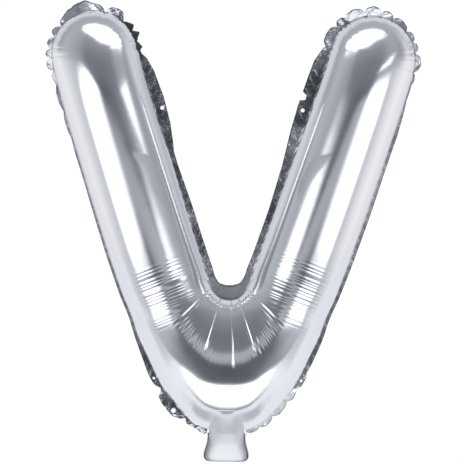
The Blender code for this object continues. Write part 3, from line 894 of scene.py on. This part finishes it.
def edge_half(body, table, side):
    """Rows of the sealed edge of one half from the crotch to the neck, in millimetres, seen on the right."""
    table = np.array(table)
    inner_end = body.inner_length[-1]
    places = np.arange(-inner_end, NECK_PLACE, EDGE_STEP)
    line, marks = edge_lines(body)
    points, ahead, behind = (
        np.stack([np.interp(places + step, marks, line[:, part]) for part in range(2)], axis=1)
        for step in (0.0, NORMAL_STEP, -NORMAL_STEP)
    )
    along = ahead - behind
    outward = np.stack([-along[:, 1], along[:, 0]], axis=1)
    outward /= np.linalg.norm(outward, axis=1, keepdims=True)
    outward[0] = (0.0, 1.0)
    relief = seam_relief(places, np.zeros_like(places), side, -1)
    widths = np.interp(places, table[:, 0], table[:, 1])
    lean = EDGE_LEAN + BASE_LEANS[side] * smooth_step(*BASE_LEAN_START, places)
    for start, end, rise in TIP_LEANS[side]:
        lean += rise * window(places, start, end, *TIP_LEAN_ENDS)
    busy = np.ones_like(places)
    for start, end, calm, shoulder in CALM_STRETCHES[side]:
        busy -= calm * window(places, start, end, shoulder, shoulder)
    busy = busy * smooth_step(-inner_end + CROTCH_CALM, -inner_end + 2 * CROTCH_CALM, places)
    shares = np.linspace(0.0, 1.0, EDGE_ACROSS + 1)
    rows = []
    for share, wave in zip(shares, edge_waves(places, widths, shares, side)):
        reach = -EDGE_TUCK + (widths + EDGE_TUCK) * share + relief
        flat = points + outward * reach[:, None]
        lift = wave * busy * share * np.minimum(widths, WAVE_WIDTH) / WAVE_FULL
        lift += lean * np.maximum(reach, 0.0)
        rows.append(np.stack([flat[:, 0], lift, flat[:, 1]], axis=1))
    return np.stack(rows, axis=1)


def punch_holes(piece):
    """Cuts the round eyelets through the sealed edge."""
    bm = bmesh.new()
    for x, z, diameter in EYELETS:
        place = Matrix.Translation((x * MM, 0.0, z * MM)) @ Matrix.Rotation(math.pi / 2, 4, "X")
        radius = diameter * MM / 2
        bmesh.ops.create_cone(
            bm,
            cap_ends=True,
            segments=EYELET_SIDES,
            radius1=radius,
            radius2=radius,
            depth=PUNCH_LENGTH,
            matrix=place,
        )
    mesh = bpy.data.meshes.new("eyelet_punches")
    bm.to_mesh(mesh)
    bm.free()
    punches = bpy.data.objects.new("eyelet_punches", mesh)
    bpy.context.scene.collection.objects.link(punches)
    cut = piece.modifiers.new("Eyelets", "BOOLEAN")
    cut.operation = "DIFFERENCE"
    cut.solver = "EXACT"
    cut.object = punches
    depsgraph = bpy.context.evaluated_depsgraph_get()
    cut_mesh = bpy.data.meshes.new_from_object(piece.evaluated_get(depsgraph))
    piece.modifiers.clear()
    piece.data = cut_mesh
    bpy.data.objects.remove(punches)


# Filling tail from the body's front down to its mouth, in millimetres: z, half width, half depth
TAIL_SECTIONS = (
    (41.0, 7.0, 15.0),
    (38.0, 8.6, 20.0),
    (34.0, 10.8, 21.4),
    (30.0, 12.6, 19.2),
    (26.0, 13.5, 15.8),
    (22.0, 13.4, 12.6),
    (18.0, 13.4, 10.2),
    (14.0, 14.0, 8.0),
    (10.0, 15.2, 6.2),
    (6.0, 16.1, 4.5),
    (3.0, 15.8, 3.4),
    (1.2, 14.4, 2.7),
    (0.3, 12.4, 2.3),
)
TAIL_ACROSS = 48
TAIL_ROWS = 72
# Section where the side seals begin
TAIL_NECK = 5
# How the tail's bulge falls off towards its sides
TAIL_SQUARE = 3.4
TAIL_FULL = 0.8
# Fillet between tail and body, the body's depth at which it is full, and the tail's clearance, in millimetres
TAIL_FILLET = 3.5
FILLET_DEPTH = 8.0
TAIL_CLEAR = 0.06
# Side seals of the tail, in millimetres: tuck, width, wave height and pitch; their thickness in metres
SEAL_TUCK = 0.3
SEAL_WIDTH = 1.0
SEAL_COLUMNS = 5
SEAL_WAVE = 0.12
SEAL_PITCH = 2.3
SEAL_SEED = 300
SEAL_THICKNESS = 0.0003
# Valve sheets, in millimetres: top, end, half width, depth at the edge and in the middle, and their growth
VALVE_TOP = 20.0
VALVE_END = 1.2
VALVE_WIDTH = 7.6
VALVE_WIDENS = 0.4
VALVE_EDGE = 0.25
VALVE_DEPTH = 1.6
VALVE_DEEPENS = 0.5
VALVE_SQUARE = 4
VALVE_ROWS = 24
VALVE_ACROSS = 24
VALVE_THICKNESS = 0.00015


def tail_sections(first):
    """Height, half width and half depth of the tail's rows from one of its sections down."""
    table = np.array(TAIL_SECTIONS[first:])
    rows = np.linspace(0.0, len(table) - 1.0, TAIL_ROWS)
    return curve_through(np.arange(len(table), dtype=float), table, rows)


def body_depths(film, wide, high, facing):
    """How far the body's film stands out at places across and up, in millimetres; 0 beside the body."""
    bm = bmesh.new()
    bm.from_mesh(film.data)
    tree = BVHTree.FromBMesh(bm)
    bm.free()
    depths = np.zeros(wide.shape)
    for index in np.ndindex(wide.shape):
        start = Vector((wide[index], facing / MM, high[index])) * MM
        place = tree.ray_cast(start, Vector((0.0, -facing, 0.0)))[0]
        if place is not None:
            depths[index] = max(0.0, place.y * facing / MM)
    return depths


def tail_points(film, facing):
    """Rows of one film of the tail, from where it leaves the body's film to the mouth, in metres."""
    values = tail_sections(0)
    shares = np.linspace(-1.0, 1.0, TAIL_ACROSS + 1)
    bulge = (1.0 - np.abs(shares) ** TAIL_SQUARE)[None, :] ** TAIL_FULL * values[:, 2:3]
    wide = shares[None, :] * values[:, 1:2]
    high = np.broadcast_to(values[:, 0:1], wide.shape)
    body = body_depths(film, wide, high, facing) + TAIL_CLEAR
    fillet = TAIL_FILLET * np.minimum(body / FILLET_DEPTH, 1.0)
    depth = (body + bulge + np.sqrt((body - bulge) ** 2 + fillet**2)) / 2
    return np.stack([wide, facing * depth, high], axis=-1) * MM


def seal_points(side):
    """Rows of one wavy side seal of the tail, in metres."""
    values = tail_sections(TAIL_NECK)
    widths = np.linspace(-SEAL_TUCK, SEAL_WIDTH, SEAL_COLUMNS)[None, :] * np.ones((len(values), 1))
    wide = side * (values[:, 1:2] + widths)
    lift = SEAL_WAVE * ripple(values[:, 0:1], SEAL_PITCH, SEAL_SEED + side) * np.clip(widths, 0.0, 1.0)
    high = np.broadcast_to(values[:, 0:1], wide.shape)
    return np.stack([wide, lift, high], axis=-1) * MM


def valve_points(facing):
    """Rows of one sheet of the valve, in metres."""
    length = VALVE_TOP - VALVE_END
    heights = np.linspace(VALVE_TOP, VALVE_END, VALVE_ROWS)[:, None]
    shares = np.linspace(-1.0, 1.0, VALVE_ACROSS + 1)[None, :]
    wide = shares * (VALVE_WIDTH + VALVE_WIDENS * (VALVE_TOP - heights) / length)
    middle = VALVE_DEPTH + VALVE_DEEPENS * (VALVE_TOP - heights) / length
    depth = facing * (VALVE_EDGE + (1.0 - shares**VALVE_SQUARE) * middle) * np.ones_like(wide)
    return np.stack([wide, depth, heights * np.ones_like(wide)], axis=-1) * MM


class BALLOON_OT_films(Operator):
    """Builds the front and back films of the body."""

    bl_idname = "balloon.films"
    bl_label = "Body Films"

    def execute(self, context):
        sizes = context.scene.balloon_sizes
        body = HalfBody(sizes)
        for label, facing in (("front", -1), ("back", 1)):
            points = whole_film(body, facing) * MM
            piece = surface_piece(f"{label}_foil", points, facing, "Silver Film", sizes.film)
            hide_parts(f"{label}_film")
        return {"FINISHED"}


class BALLOON_OT_sealed_edge(Operator):
    """Builds the crinkled, scalloped and punched sealed edge."""

    bl_idname = "balloon.sealed_edge"
    bl_label = "Sealed Edge"

    def execute(self, context):
        sizes = context.scene.balloon_sizes
        body = HalfBody(sizes)
        right = edge_half(body, RIGHT_EDGE, 1)
        left = edge_half(body, LEFT_EDGE, -1)
        left[..., 0] *= -1
        right[0, :, 0] = 0.0
        left[0, :, :] = right[0, :, :]
        points = np.concatenate([right[::-1], left[1:]], axis=0) * MM
        piece = surface_piece("sealed_margin", points, -1, "Sealed Edge", sizes.edge, 0.0)
        punch_holes(piece)
        nodes = [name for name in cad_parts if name.startswith(("sealed_edge", "eyelet_tab"))]
        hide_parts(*nodes)
        return {"FINISHED"}


class BALLOON_OT_tail(Operator):
    """Builds the filling tail with its side seals, and the valve in its mouth."""

    bl_idname = "balloon.tail"
    bl_label = "Tail And Valve"

    def execute(self, context):
        film = context.scene.balloon_sizes.film
        for label, facing in (("front", -1), ("back", 1)):
            points = tail_points(bpy.data.objects[f"{label}_foil"], facing)
            piece = surface_piece(f"tail_{label}_foil", points, facing, "Tail Film", film)
            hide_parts(f"tail_{label}_film")
        for label, side in (("left", -1), ("right", 1)):
            name = f"tail_rim_{label}"
            points = seal_points(side)
            piece = surface_piece(name, points, -1, "Sealed Edge", SEAL_THICKNESS, 0.0)
            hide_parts(f"tail_seal_{label}")
        for label, facing in (("front", -1), ("back", 1)):
            name = f"valve_{label}_sheet"
            points = valve_points(facing)
            piece = surface_piece(name, points, facing, "Valve Film", VALVE_THICKNESS)
            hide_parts(f"valve_{label}_film")
        return {"FINISHED"}


# Soft lights: name, middle, turn, tilt, brightness and convex outline, in metres and degrees.
# The turn is measured from the camera's side to the right, the tilt from upright. Each corner of the outline
# is a sideways and an upward step from the middle, in anticlockwise order seen from behind the light, and then
# the softness of the edge that leaves it.
SOFT_LIGHTS = (
    (
        "left softbox", (-0.739, -0.946, 0.10), -38.0, 0.0, 1.35,
        (
            (0.46, 0.29, 0.08), (0.05, 0.46, 0.16), (-0.15, 0.46, 0.30), (-0.42, 0.26, 0.30),
            (-0.55, 0.06, 0.30), (-0.55, -0.36, 0.06), (-0.30, -0.30, 0.06), (0.00, -0.22, 0.10),
            (0.40, -0.06, 0.30),
        ),
    ),
    (
        "right softbox", (0.739, -0.946, 0.10), 38.0, 0.0, 1.35,
        (
            (-0.41, -0.066, 0.08), (0.00, -0.21, 0.06), (0.30, -0.29, 0.06), (0.48, -0.335, 0.25),
            (0.53, 0.05, 0.25), (0.50, 0.26, 0.24), (0.20, 0.35, 0.24), (-0.14, 0.36, 0.14),
            (-0.41, 0.18, 0.30),
        ),
    ),
    (
        "right upper softbox", (0.739, -0.946, 0.62), 38.0, 0.0, 1.35,
        (
            (-0.42, -0.26, 0.09), (0.00, -0.14, 0.09), (0.45, 0.08, 0.45), (0.45, 0.23, 0.05),
            (-0.05, 0.035, 0.05), (-0.40, -0.12, 0.12),
        ),
    ),
    (
        "overhead softbox", (0.0, -0.17, 0.53), 0.0, 90.0, 1.6,
        (
            (-0.21, 0.09, 0.03), (-0.21, 0.04, 0.03), (-0.09, -0.055, 0.03), (0.09, -0.055, 0.03),
            (0.21, 0.04, 0.03), (0.21, 0.09, 0.03), (0.16, 0.105, 0.03), (-0.16, 0.105, 0.03),
        ),
    ),
    (
        "front reflector", (0.0, -0.42, -0.24), 0.0, -90.0, 1.35,
        (
            (0.00, -0.225, 0.03), (0.20, -0.180, 0.03), (0.34, -0.125, 0.06), (0.43, -0.01, 0.10),
            (0.45, 0.08, 0.12), (0.40, 0.16, 0.08), (0.28, 0.205, 0.04), (-0.28, 0.205, 0.08),
            (-0.40, 0.16, 0.12), (-0.45, 0.08, 0.10), (-0.43, -0.01, 0.06), (-0.34, -0.125, 0.03),
            (-0.20, -0.180, 0.03),
        ),
    ),
    (
        "front strip", (0.0, -1.25, 0.20), 0.0, 0.0, 0.36,
        (
            (-0.42, -0.09, 0.10), (0.42, -0.09, 0.16), (0.42, 0.17, 0.09), (-0.10, 0.125, 0.09),
            (-0.42, 0.03, 0.16),
        ),
    ),
)
LIGHT_COLOUR = (0.965, 0.985, 1.03)

# Glowing grey cards that only the mirror film sees, painted grey reflections, in metres:
# name, half length, middle, how far the ends curve away, width, height, brightness
FLOOR_DROP = 0.25
PAINTED_REFLECTION_CARDS = (
    ("floor_grey_reflection_card", 0.37, -0.148, 0.056, 0.036, 0.004 - FLOOR_DROP, 0.22),
    ("notch_grey_reflection_card", 0.06, -0.070, 0.0, 0.064, 0.24, 0.30),
)
CARD_STEPS = 24
CARD_BEND = 0.6
CARD_ROUND = 6
CARD_COLOUR = (0.02, 0.02, 0.02, 1.0)
PAINTED_REFLECTION_GLOW = (0.96, 0.99, 1.05, 1.0)

# Floor, in metres: middle and radius; then its sides, roughness, glow, dark colour of its grain and painted
# shadows, and grain
FLOOR_MIDDLE = 0.9
FLOOR_RADIUS = 1.5
FLOOR_SIDES = 96
FLOOR_ROUGHNESS = 0.9
FLOOR_GLOW = 0.40
FLOOR_GRAIN_AND_SHADOW = (0.04, 0.05, 0.08, 1.0)
FLOOR_GRAIN_SCALE = 40.0
FLOOR_GRAIN_DETAIL = 3.0
FLOOR_GRAIN = 0.03
# Painted shadows on the floor, in metres: how dark, then where each fades in and out sideways and lengthways
FLOOR_PAINTED_SHADOWS = (
    (0.14, (-0.20, -0.10, 0.20, 0.36), (-0.13, -0.07, 0.01, 0.12)),
    (0.32, (0.02, 0.10, 0.20, 0.40), (-0.13, -0.07, 0.01, 0.12)),
    (0.36, (0.44, 0.80, 2.00, 2.10), (-2.00, -1.90, -0.20, 0.06)),
)

# Camera, in metres: distance, place and width of the picture at the object; its sensor in millimetres
CAMERA_DISTANCE = 2.2
CAMERA_X = 0.00137
CAMERA_HEIGHT = 0.1746
FRAME_WIDTH = 0.3523
SENSOR = 36.0
ROLL = math.radians(-1.05)


# Brightness of the room by direction: degrees right of the camera's side, level, upper and lower brightness
ROOM_TONES = (
    (-180, 0.20, 0.70, 0.22), (-168, 0.28, 0.70, 0.30), (-158, 0.62, 0.68, 0.55), (-140, 0.84, 0.60, 0.66),
    (-124, 0.88, 0.78, 0.70), (-102, 0.94, 0.40, 0.62), (-80, 0.76, 0.52, 0.46), (-62, 0.58, 0.45, 0.34),
    (-44, 0.42, 0.36, 0.22), (-30, 0.26, 0.22, 0.14), (-18, 0.14, 0.21, 0.10), (0, 0.10, 0.20, 0.09),
    (18, 0.14, 0.21, 0.10), (30, 0.26, 0.22, 0.14), (44, 0.42, 0.36, 0.22), (62, 0.58, 0.42, 0.34),
    (80, 0.84, 0.36, 0.46), (100, 0.98, 0.76, 0.62), (124, 0.88, 0.46, 0.70), (140, 0.84, 0.50, 0.66),
    (158, 0.62, 0.68, 0.55), (168, 0.28, 0.70, 0.30), (180, 0.20, 0.70, 0.22),
)
CEILING = 0.46
BACK_CEILING = 0.74
BACKDROP = 1.02
# How the walls' red, green and blue change where they are dark
ROOM_TINT = (-0.11, -0.04, 0.12)
# Where the tones blend, by the upward part of a direction
LOWER_BLEND = (-0.42, -0.30)
UPPER_BLEND = (0.02, 0.34)
CEILING_BLEND = (0.36, 1.04)
# Where the ceiling behind the object sets in, by the backward and the upward part of a direction
BEHIND_BLEND = (0.20, 0.46)
BEHIND_RISE = (0.25, 0.40)


def room_colour(tone):
    """Colour of the room's walls: the darker, the bluer."""
    dark = 1.0 - tone
    return (*(tone * (1.0 + tint * dark) for tint in ROOM_TINT), 1.0)


def tone_ramp(bench, turn, column):
    """Brightness by direction from one column of the room's table."""
    node = bench.add("ValToRGB", {"Fac": turn})
    ramp = node.color_ramp
    ramp.elements.remove(ramp.elements[1])
    for index, row in enumerate(ROOM_TONES):
        place = (row[0] + 180.0) / 360.0
        element = ramp.elements[0] if index == 0 else ramp.elements.new(place)
        element.position = place
        element.color = room_colour(row[column])
    return node.outputs["Color"]


def studio_world():
    """White to the camera; round the object light behind, mid grey above and dark round the camera."""
    world = bpy.data.worlds.new("Studio")
    bpy.context.scene.world = world
    world.use_nodes = True
    bench = NodeBench(world.node_tree)
    bench.nodes.clear()
    aside, back, rise = bench.parts(bench.coordinates("Generated"))
    turn = bench.math("ARCTAN2", aside, bench.math("MULTIPLY", back, -1.0))
    turn = bench.math("ADD", bench.math("DIVIDE", turn, 2 * math.pi), 0.5)
    level, upper, lower = (tone_ramp(bench, turn, column) for column in (1, 2, 3))
    tone = bench.mix(bench.rise(rise, *UPPER_BLEND), level, upper)
    tone = bench.mix(bench.rise(rise, *CEILING_BLEND), tone, room_colour(CEILING))
    tone = bench.mix(bench.rise(rise, *LOWER_BLEND), lower, tone)
    behind = bench.math("MULTIPLY", bench.rise(back, *BEHIND_BLEND), bench.rise(rise, *BEHIND_RISE))
    tone = bench.mix(behind, tone, room_colour(BACK_CEILING))
    room = bench.add("Background", {"Color": tone})
    seen = bench.add("Background", {"Color": (1.0, 1.0, 1.0, 1.0), "Strength": BACKDROP})
    to_camera = bench.add("LightPath", {}).outputs["Is Camera Ray"]
    choose = bench.add("MixShader", {0: to_camera, 1: room.outputs[0], 2: seen.outputs[0]})
    bench.add("OutputWorld", {"Surface": choose.outputs[0]})


def outline_strength(bench, corners, softness, low, size):
    """1 within a light's outline and 0 outside it, with a softness of its own for each edge."""
    place = bench.add("NewGeometry", {}).outputs["Parametric"]
    edges = []
    for near, far, soft in zip(corners, np.roll(corners, -1, axis=0), softness):
        along = (far - near) / np.linalg.norm(far - near)
        inward = np.array([-along[1], along[0]])
        dot = bench.add("VectorMath", {0: place, 1: (inward[0] * size[0], inward[1] * size[1], 0.0)})
        dot.operation = "DOT_PRODUCT"
        start = float((near - low) @ inward) - soft / 2
        edges.append(bench.rise(dot.outputs["Value"], start, start + soft))
    return bench.chain("MULTIPLY", *edges)


def soft_light(name, middle, turn, tilt, brightness, outline):
    """A light panel of a convex outline whose edges fade softly; it is not seen by the camera itself."""
    corners = np.array(outline)[:, 0:2]
    softness = [corner[2] for corner in outline]
    low = corners.min(axis=0) - max(softness) / 2
    high = corners.max(axis=0) + max(softness) / 2
    size = high - low
    light = bpy.data.lights.new(name, "AREA")
    light.shape = "RECTANGLE"
    light.size, light.size_y = float(size[0]), float(size[1])
    light.energy = brightness * math.pi * float(size[0] * size[1])
    light.color = LIGHT_COLOUR
    light.use_nodes = True
    bench = NodeBench(light.node_tree)
    strength = outline_strength(bench, corners, softness, low, size)
    bench.feed(bench.nodes["Emission"].inputs["Strength"], strength)
    lamp = bpy.data.objects.new(name, light)
    facing = Matrix.Rotation(math.radians(turn), 4, "Z") @ Matrix.Rotation(math.radians(90.0 - tilt), 4, "X")
    shift = Matrix.Translation((*((low + high) / 2), 0.0))
    lamp.matrix_world = Matrix.Translation(middle) @ facing @ shift
    lamp.visible_camera = False
    bpy.context.scene.collection.objects.link(lamp)


def painted_reflection_card(name, reach, middle, curve, width, high, tone):
    """A small glowing grey card that only the mirror film sees: a painted grey reflection."""
    steps = np.linspace(-1.0, 1.0, CARD_STEPS + 1)
    line = middle - curve * smooth_step(0.0, CARD_BEND, np.abs(steps))
    half = width / 2 * (1.0 - steps**CARD_ROUND)
    rows = np.stack([line - half, line + half])
    mesh, columns, lines = new_grid(name, CARD_STEPS, 1)
    places = np.stack([reach * steps[columns], rows[lines, columns], np.full(len(lines), high)], axis=1)
    set_points(mesh, places)
    material = bpy.data.materials.new(name)
    material.use_nodes = True
    shader = material.node_tree.nodes["Principled BSDF"].inputs
    shader["Base Color"].default_value = CARD_COLOUR
    shader["Emission Color"].default_value = PAINTED_REFLECTION_GLOW
    # Painted reflection: the card glows grey and is seen only in the mirror film
    shader["Emission Strength"].default_value = tone
    mesh.materials.append(material)
    card = bpy.data.objects.new(name, mesh)
    card.visible_camera = False
    card.visible_diffuse = False
    card.visible_shadow = False
    bpy.context.scene.collection.objects.link(card)


def floor_painted_shadow(bench, place):
    """Painted shadow of the floor: how much darker it is below the balloon and at its front corners."""
    parts = bench.parts(place)
    aside = bench.math("ABSOLUTE", parts["X"])
    shades = []
    for dark, across, along in FLOOR_PAINTED_SHADOWS:
        shade = dark
        for value, (start, full, leave, end) in ((aside, across), (parts["Y"], along)):
            fades = (bench.rise(value, start, full), bench.rise(value, end, leave))
            shade = bench.chain("MULTIPLY", shade, *fades)
        shades.append(shade)
    return bench.chain("ADD", *shades)


def studio_floor():
    """A plain pale round glowing floor below the balloon, with grain and painted shadows."""
    bm = bmesh.new()
    place = Matrix.Translation((0.0, FLOOR_MIDDLE, -FLOOR_DROP))
    bmesh.ops.create_circle(bm, cap_ends=True, segments=FLOOR_SIDES, radius=FLOOR_RADIUS, matrix=place)
    mesh = bpy.data.meshes.new("studio_floor")
    bm.to_mesh(mesh)
    bm.free()
    material = bpy.data.materials.new("Studio Floor")
    material.use_nodes = True
    bench = NodeBench(material.node_tree)
    shader = bench.nodes["Principled BSDF"].inputs
    place = bench.coordinates("Object")
    grain = bench.noise(place, FLOOR_GRAIN_SCALE, FLOOR_GRAIN_DETAIL)
    # Painted shadows below the balloon and at the front corners, together with the grain, darken the floor's
    # colour and glow
    shade = bench.math("ADD", floor_painted_shadow(bench, place), bench.math("MULTIPLY", grain, FLOOR_GRAIN))
    tone = bench.mix(shade, (*bpy.context.scene.balloon_colours.floor, 1.0), FLOOR_GRAIN_AND_SHADOW)
    bench.feed(shader["Roughness"], FLOOR_ROUGHNESS)
    bench.feed(shader["Emission Strength"], FLOOR_GLOW)
    bench.feed(shader["Base Color"], tone)
    bench.feed(shader["Emission Color"], tone)
    mesh.materials.append(material)
    floor = bpy.data.objects.new("studio_floor", mesh)
    bpy.context.scene.collection.objects.link(floor)


class BALLOON_OT_studio(Operator):
    """Builds the floor, the glowing cards of painted reflections, the soft lights and the camera."""

    bl_idname = "balloon.studio"
    bl_label = "Studio"

    def execute(self, context):
        scene = context.scene
        studio_world()
        studio_floor()
        # Glowing cards that paint grey reflections into the mirror film
        for settings in PAINTED_REFLECTION_CARDS:
            painted_reflection_card(*settings)
        for settings in SOFT_LIGHTS:
            soft_light(*settings)
        camera = bpy.data.cameras.new("Camera")
        camera.sensor_width = SENSOR
        camera.lens = SENSOR * CAMERA_DISTANCE / FRAME_WIDTH
        eye = bpy.data.objects.new("Camera", camera)
        eye.location = (CAMERA_X, -CAMERA_DISTANCE, CAMERA_HEIGHT)
        eye.rotation_euler = (math.pi / 2, ROLL, 0.0)
        scene.collection.objects.link(eye)
        scene.camera = eye
        scene.view_settings.view_transform = "Standard"
        return {"FINISHED"}


class BALLOON_PT_panel(Panel):
    """Lists the balloon's sizes, colours and steps."""

    bl_idname = "BALLOON_PT_panel"
    bl_label = "Letter Balloon"
    bl_space_type = "VIEW_3D"
    bl_region_type = "UI"
    bl_category = "Balloon"

    def draw(self, context):
        for group in (context.scene.balloon_sizes, context.scene.balloon_colours):
            for name in group.__annotations__:
                self.layout.prop(group, name)
        for operator in OPERATORS:
            self.layout.operator(operator.bl_idname)


OPERATORS = (BALLOON_OT_films, BALLOON_OT_sealed_edge, BALLOON_OT_tail, BALLOON_OT_studio)
CLASSES = (BalloonSizes, BalloonColours, *OPERATORS, BALLOON_PT_panel)


def register():
    """Adds the classes and the scene's settings."""
    for entry in CLASSES:
        bpy.utils.register_class(entry)
    bpy.types.Scene.balloon_sizes = PointerProperty(type=BalloonSizes)
    bpy.types.Scene.balloon_colours = PointerProperty(type=BalloonColours)


def unregister():
    """Removes the scene's settings and the classes."""
    del bpy.types.Scene.balloon_colours
    del bpy.types.Scene.balloon_sizes
    for entry in reversed(CLASSES):
        bpy.utils.unregister_class(entry)


def main():
    """Builds every piece in order."""
    register()
    bpy.ops.balloon.films()
    bpy.ops.balloon.sealed_edge()
    bpy.ops.balloon.tail()
    bpy.ops.balloon.studio()


if __name__ == "__main__":
    main()
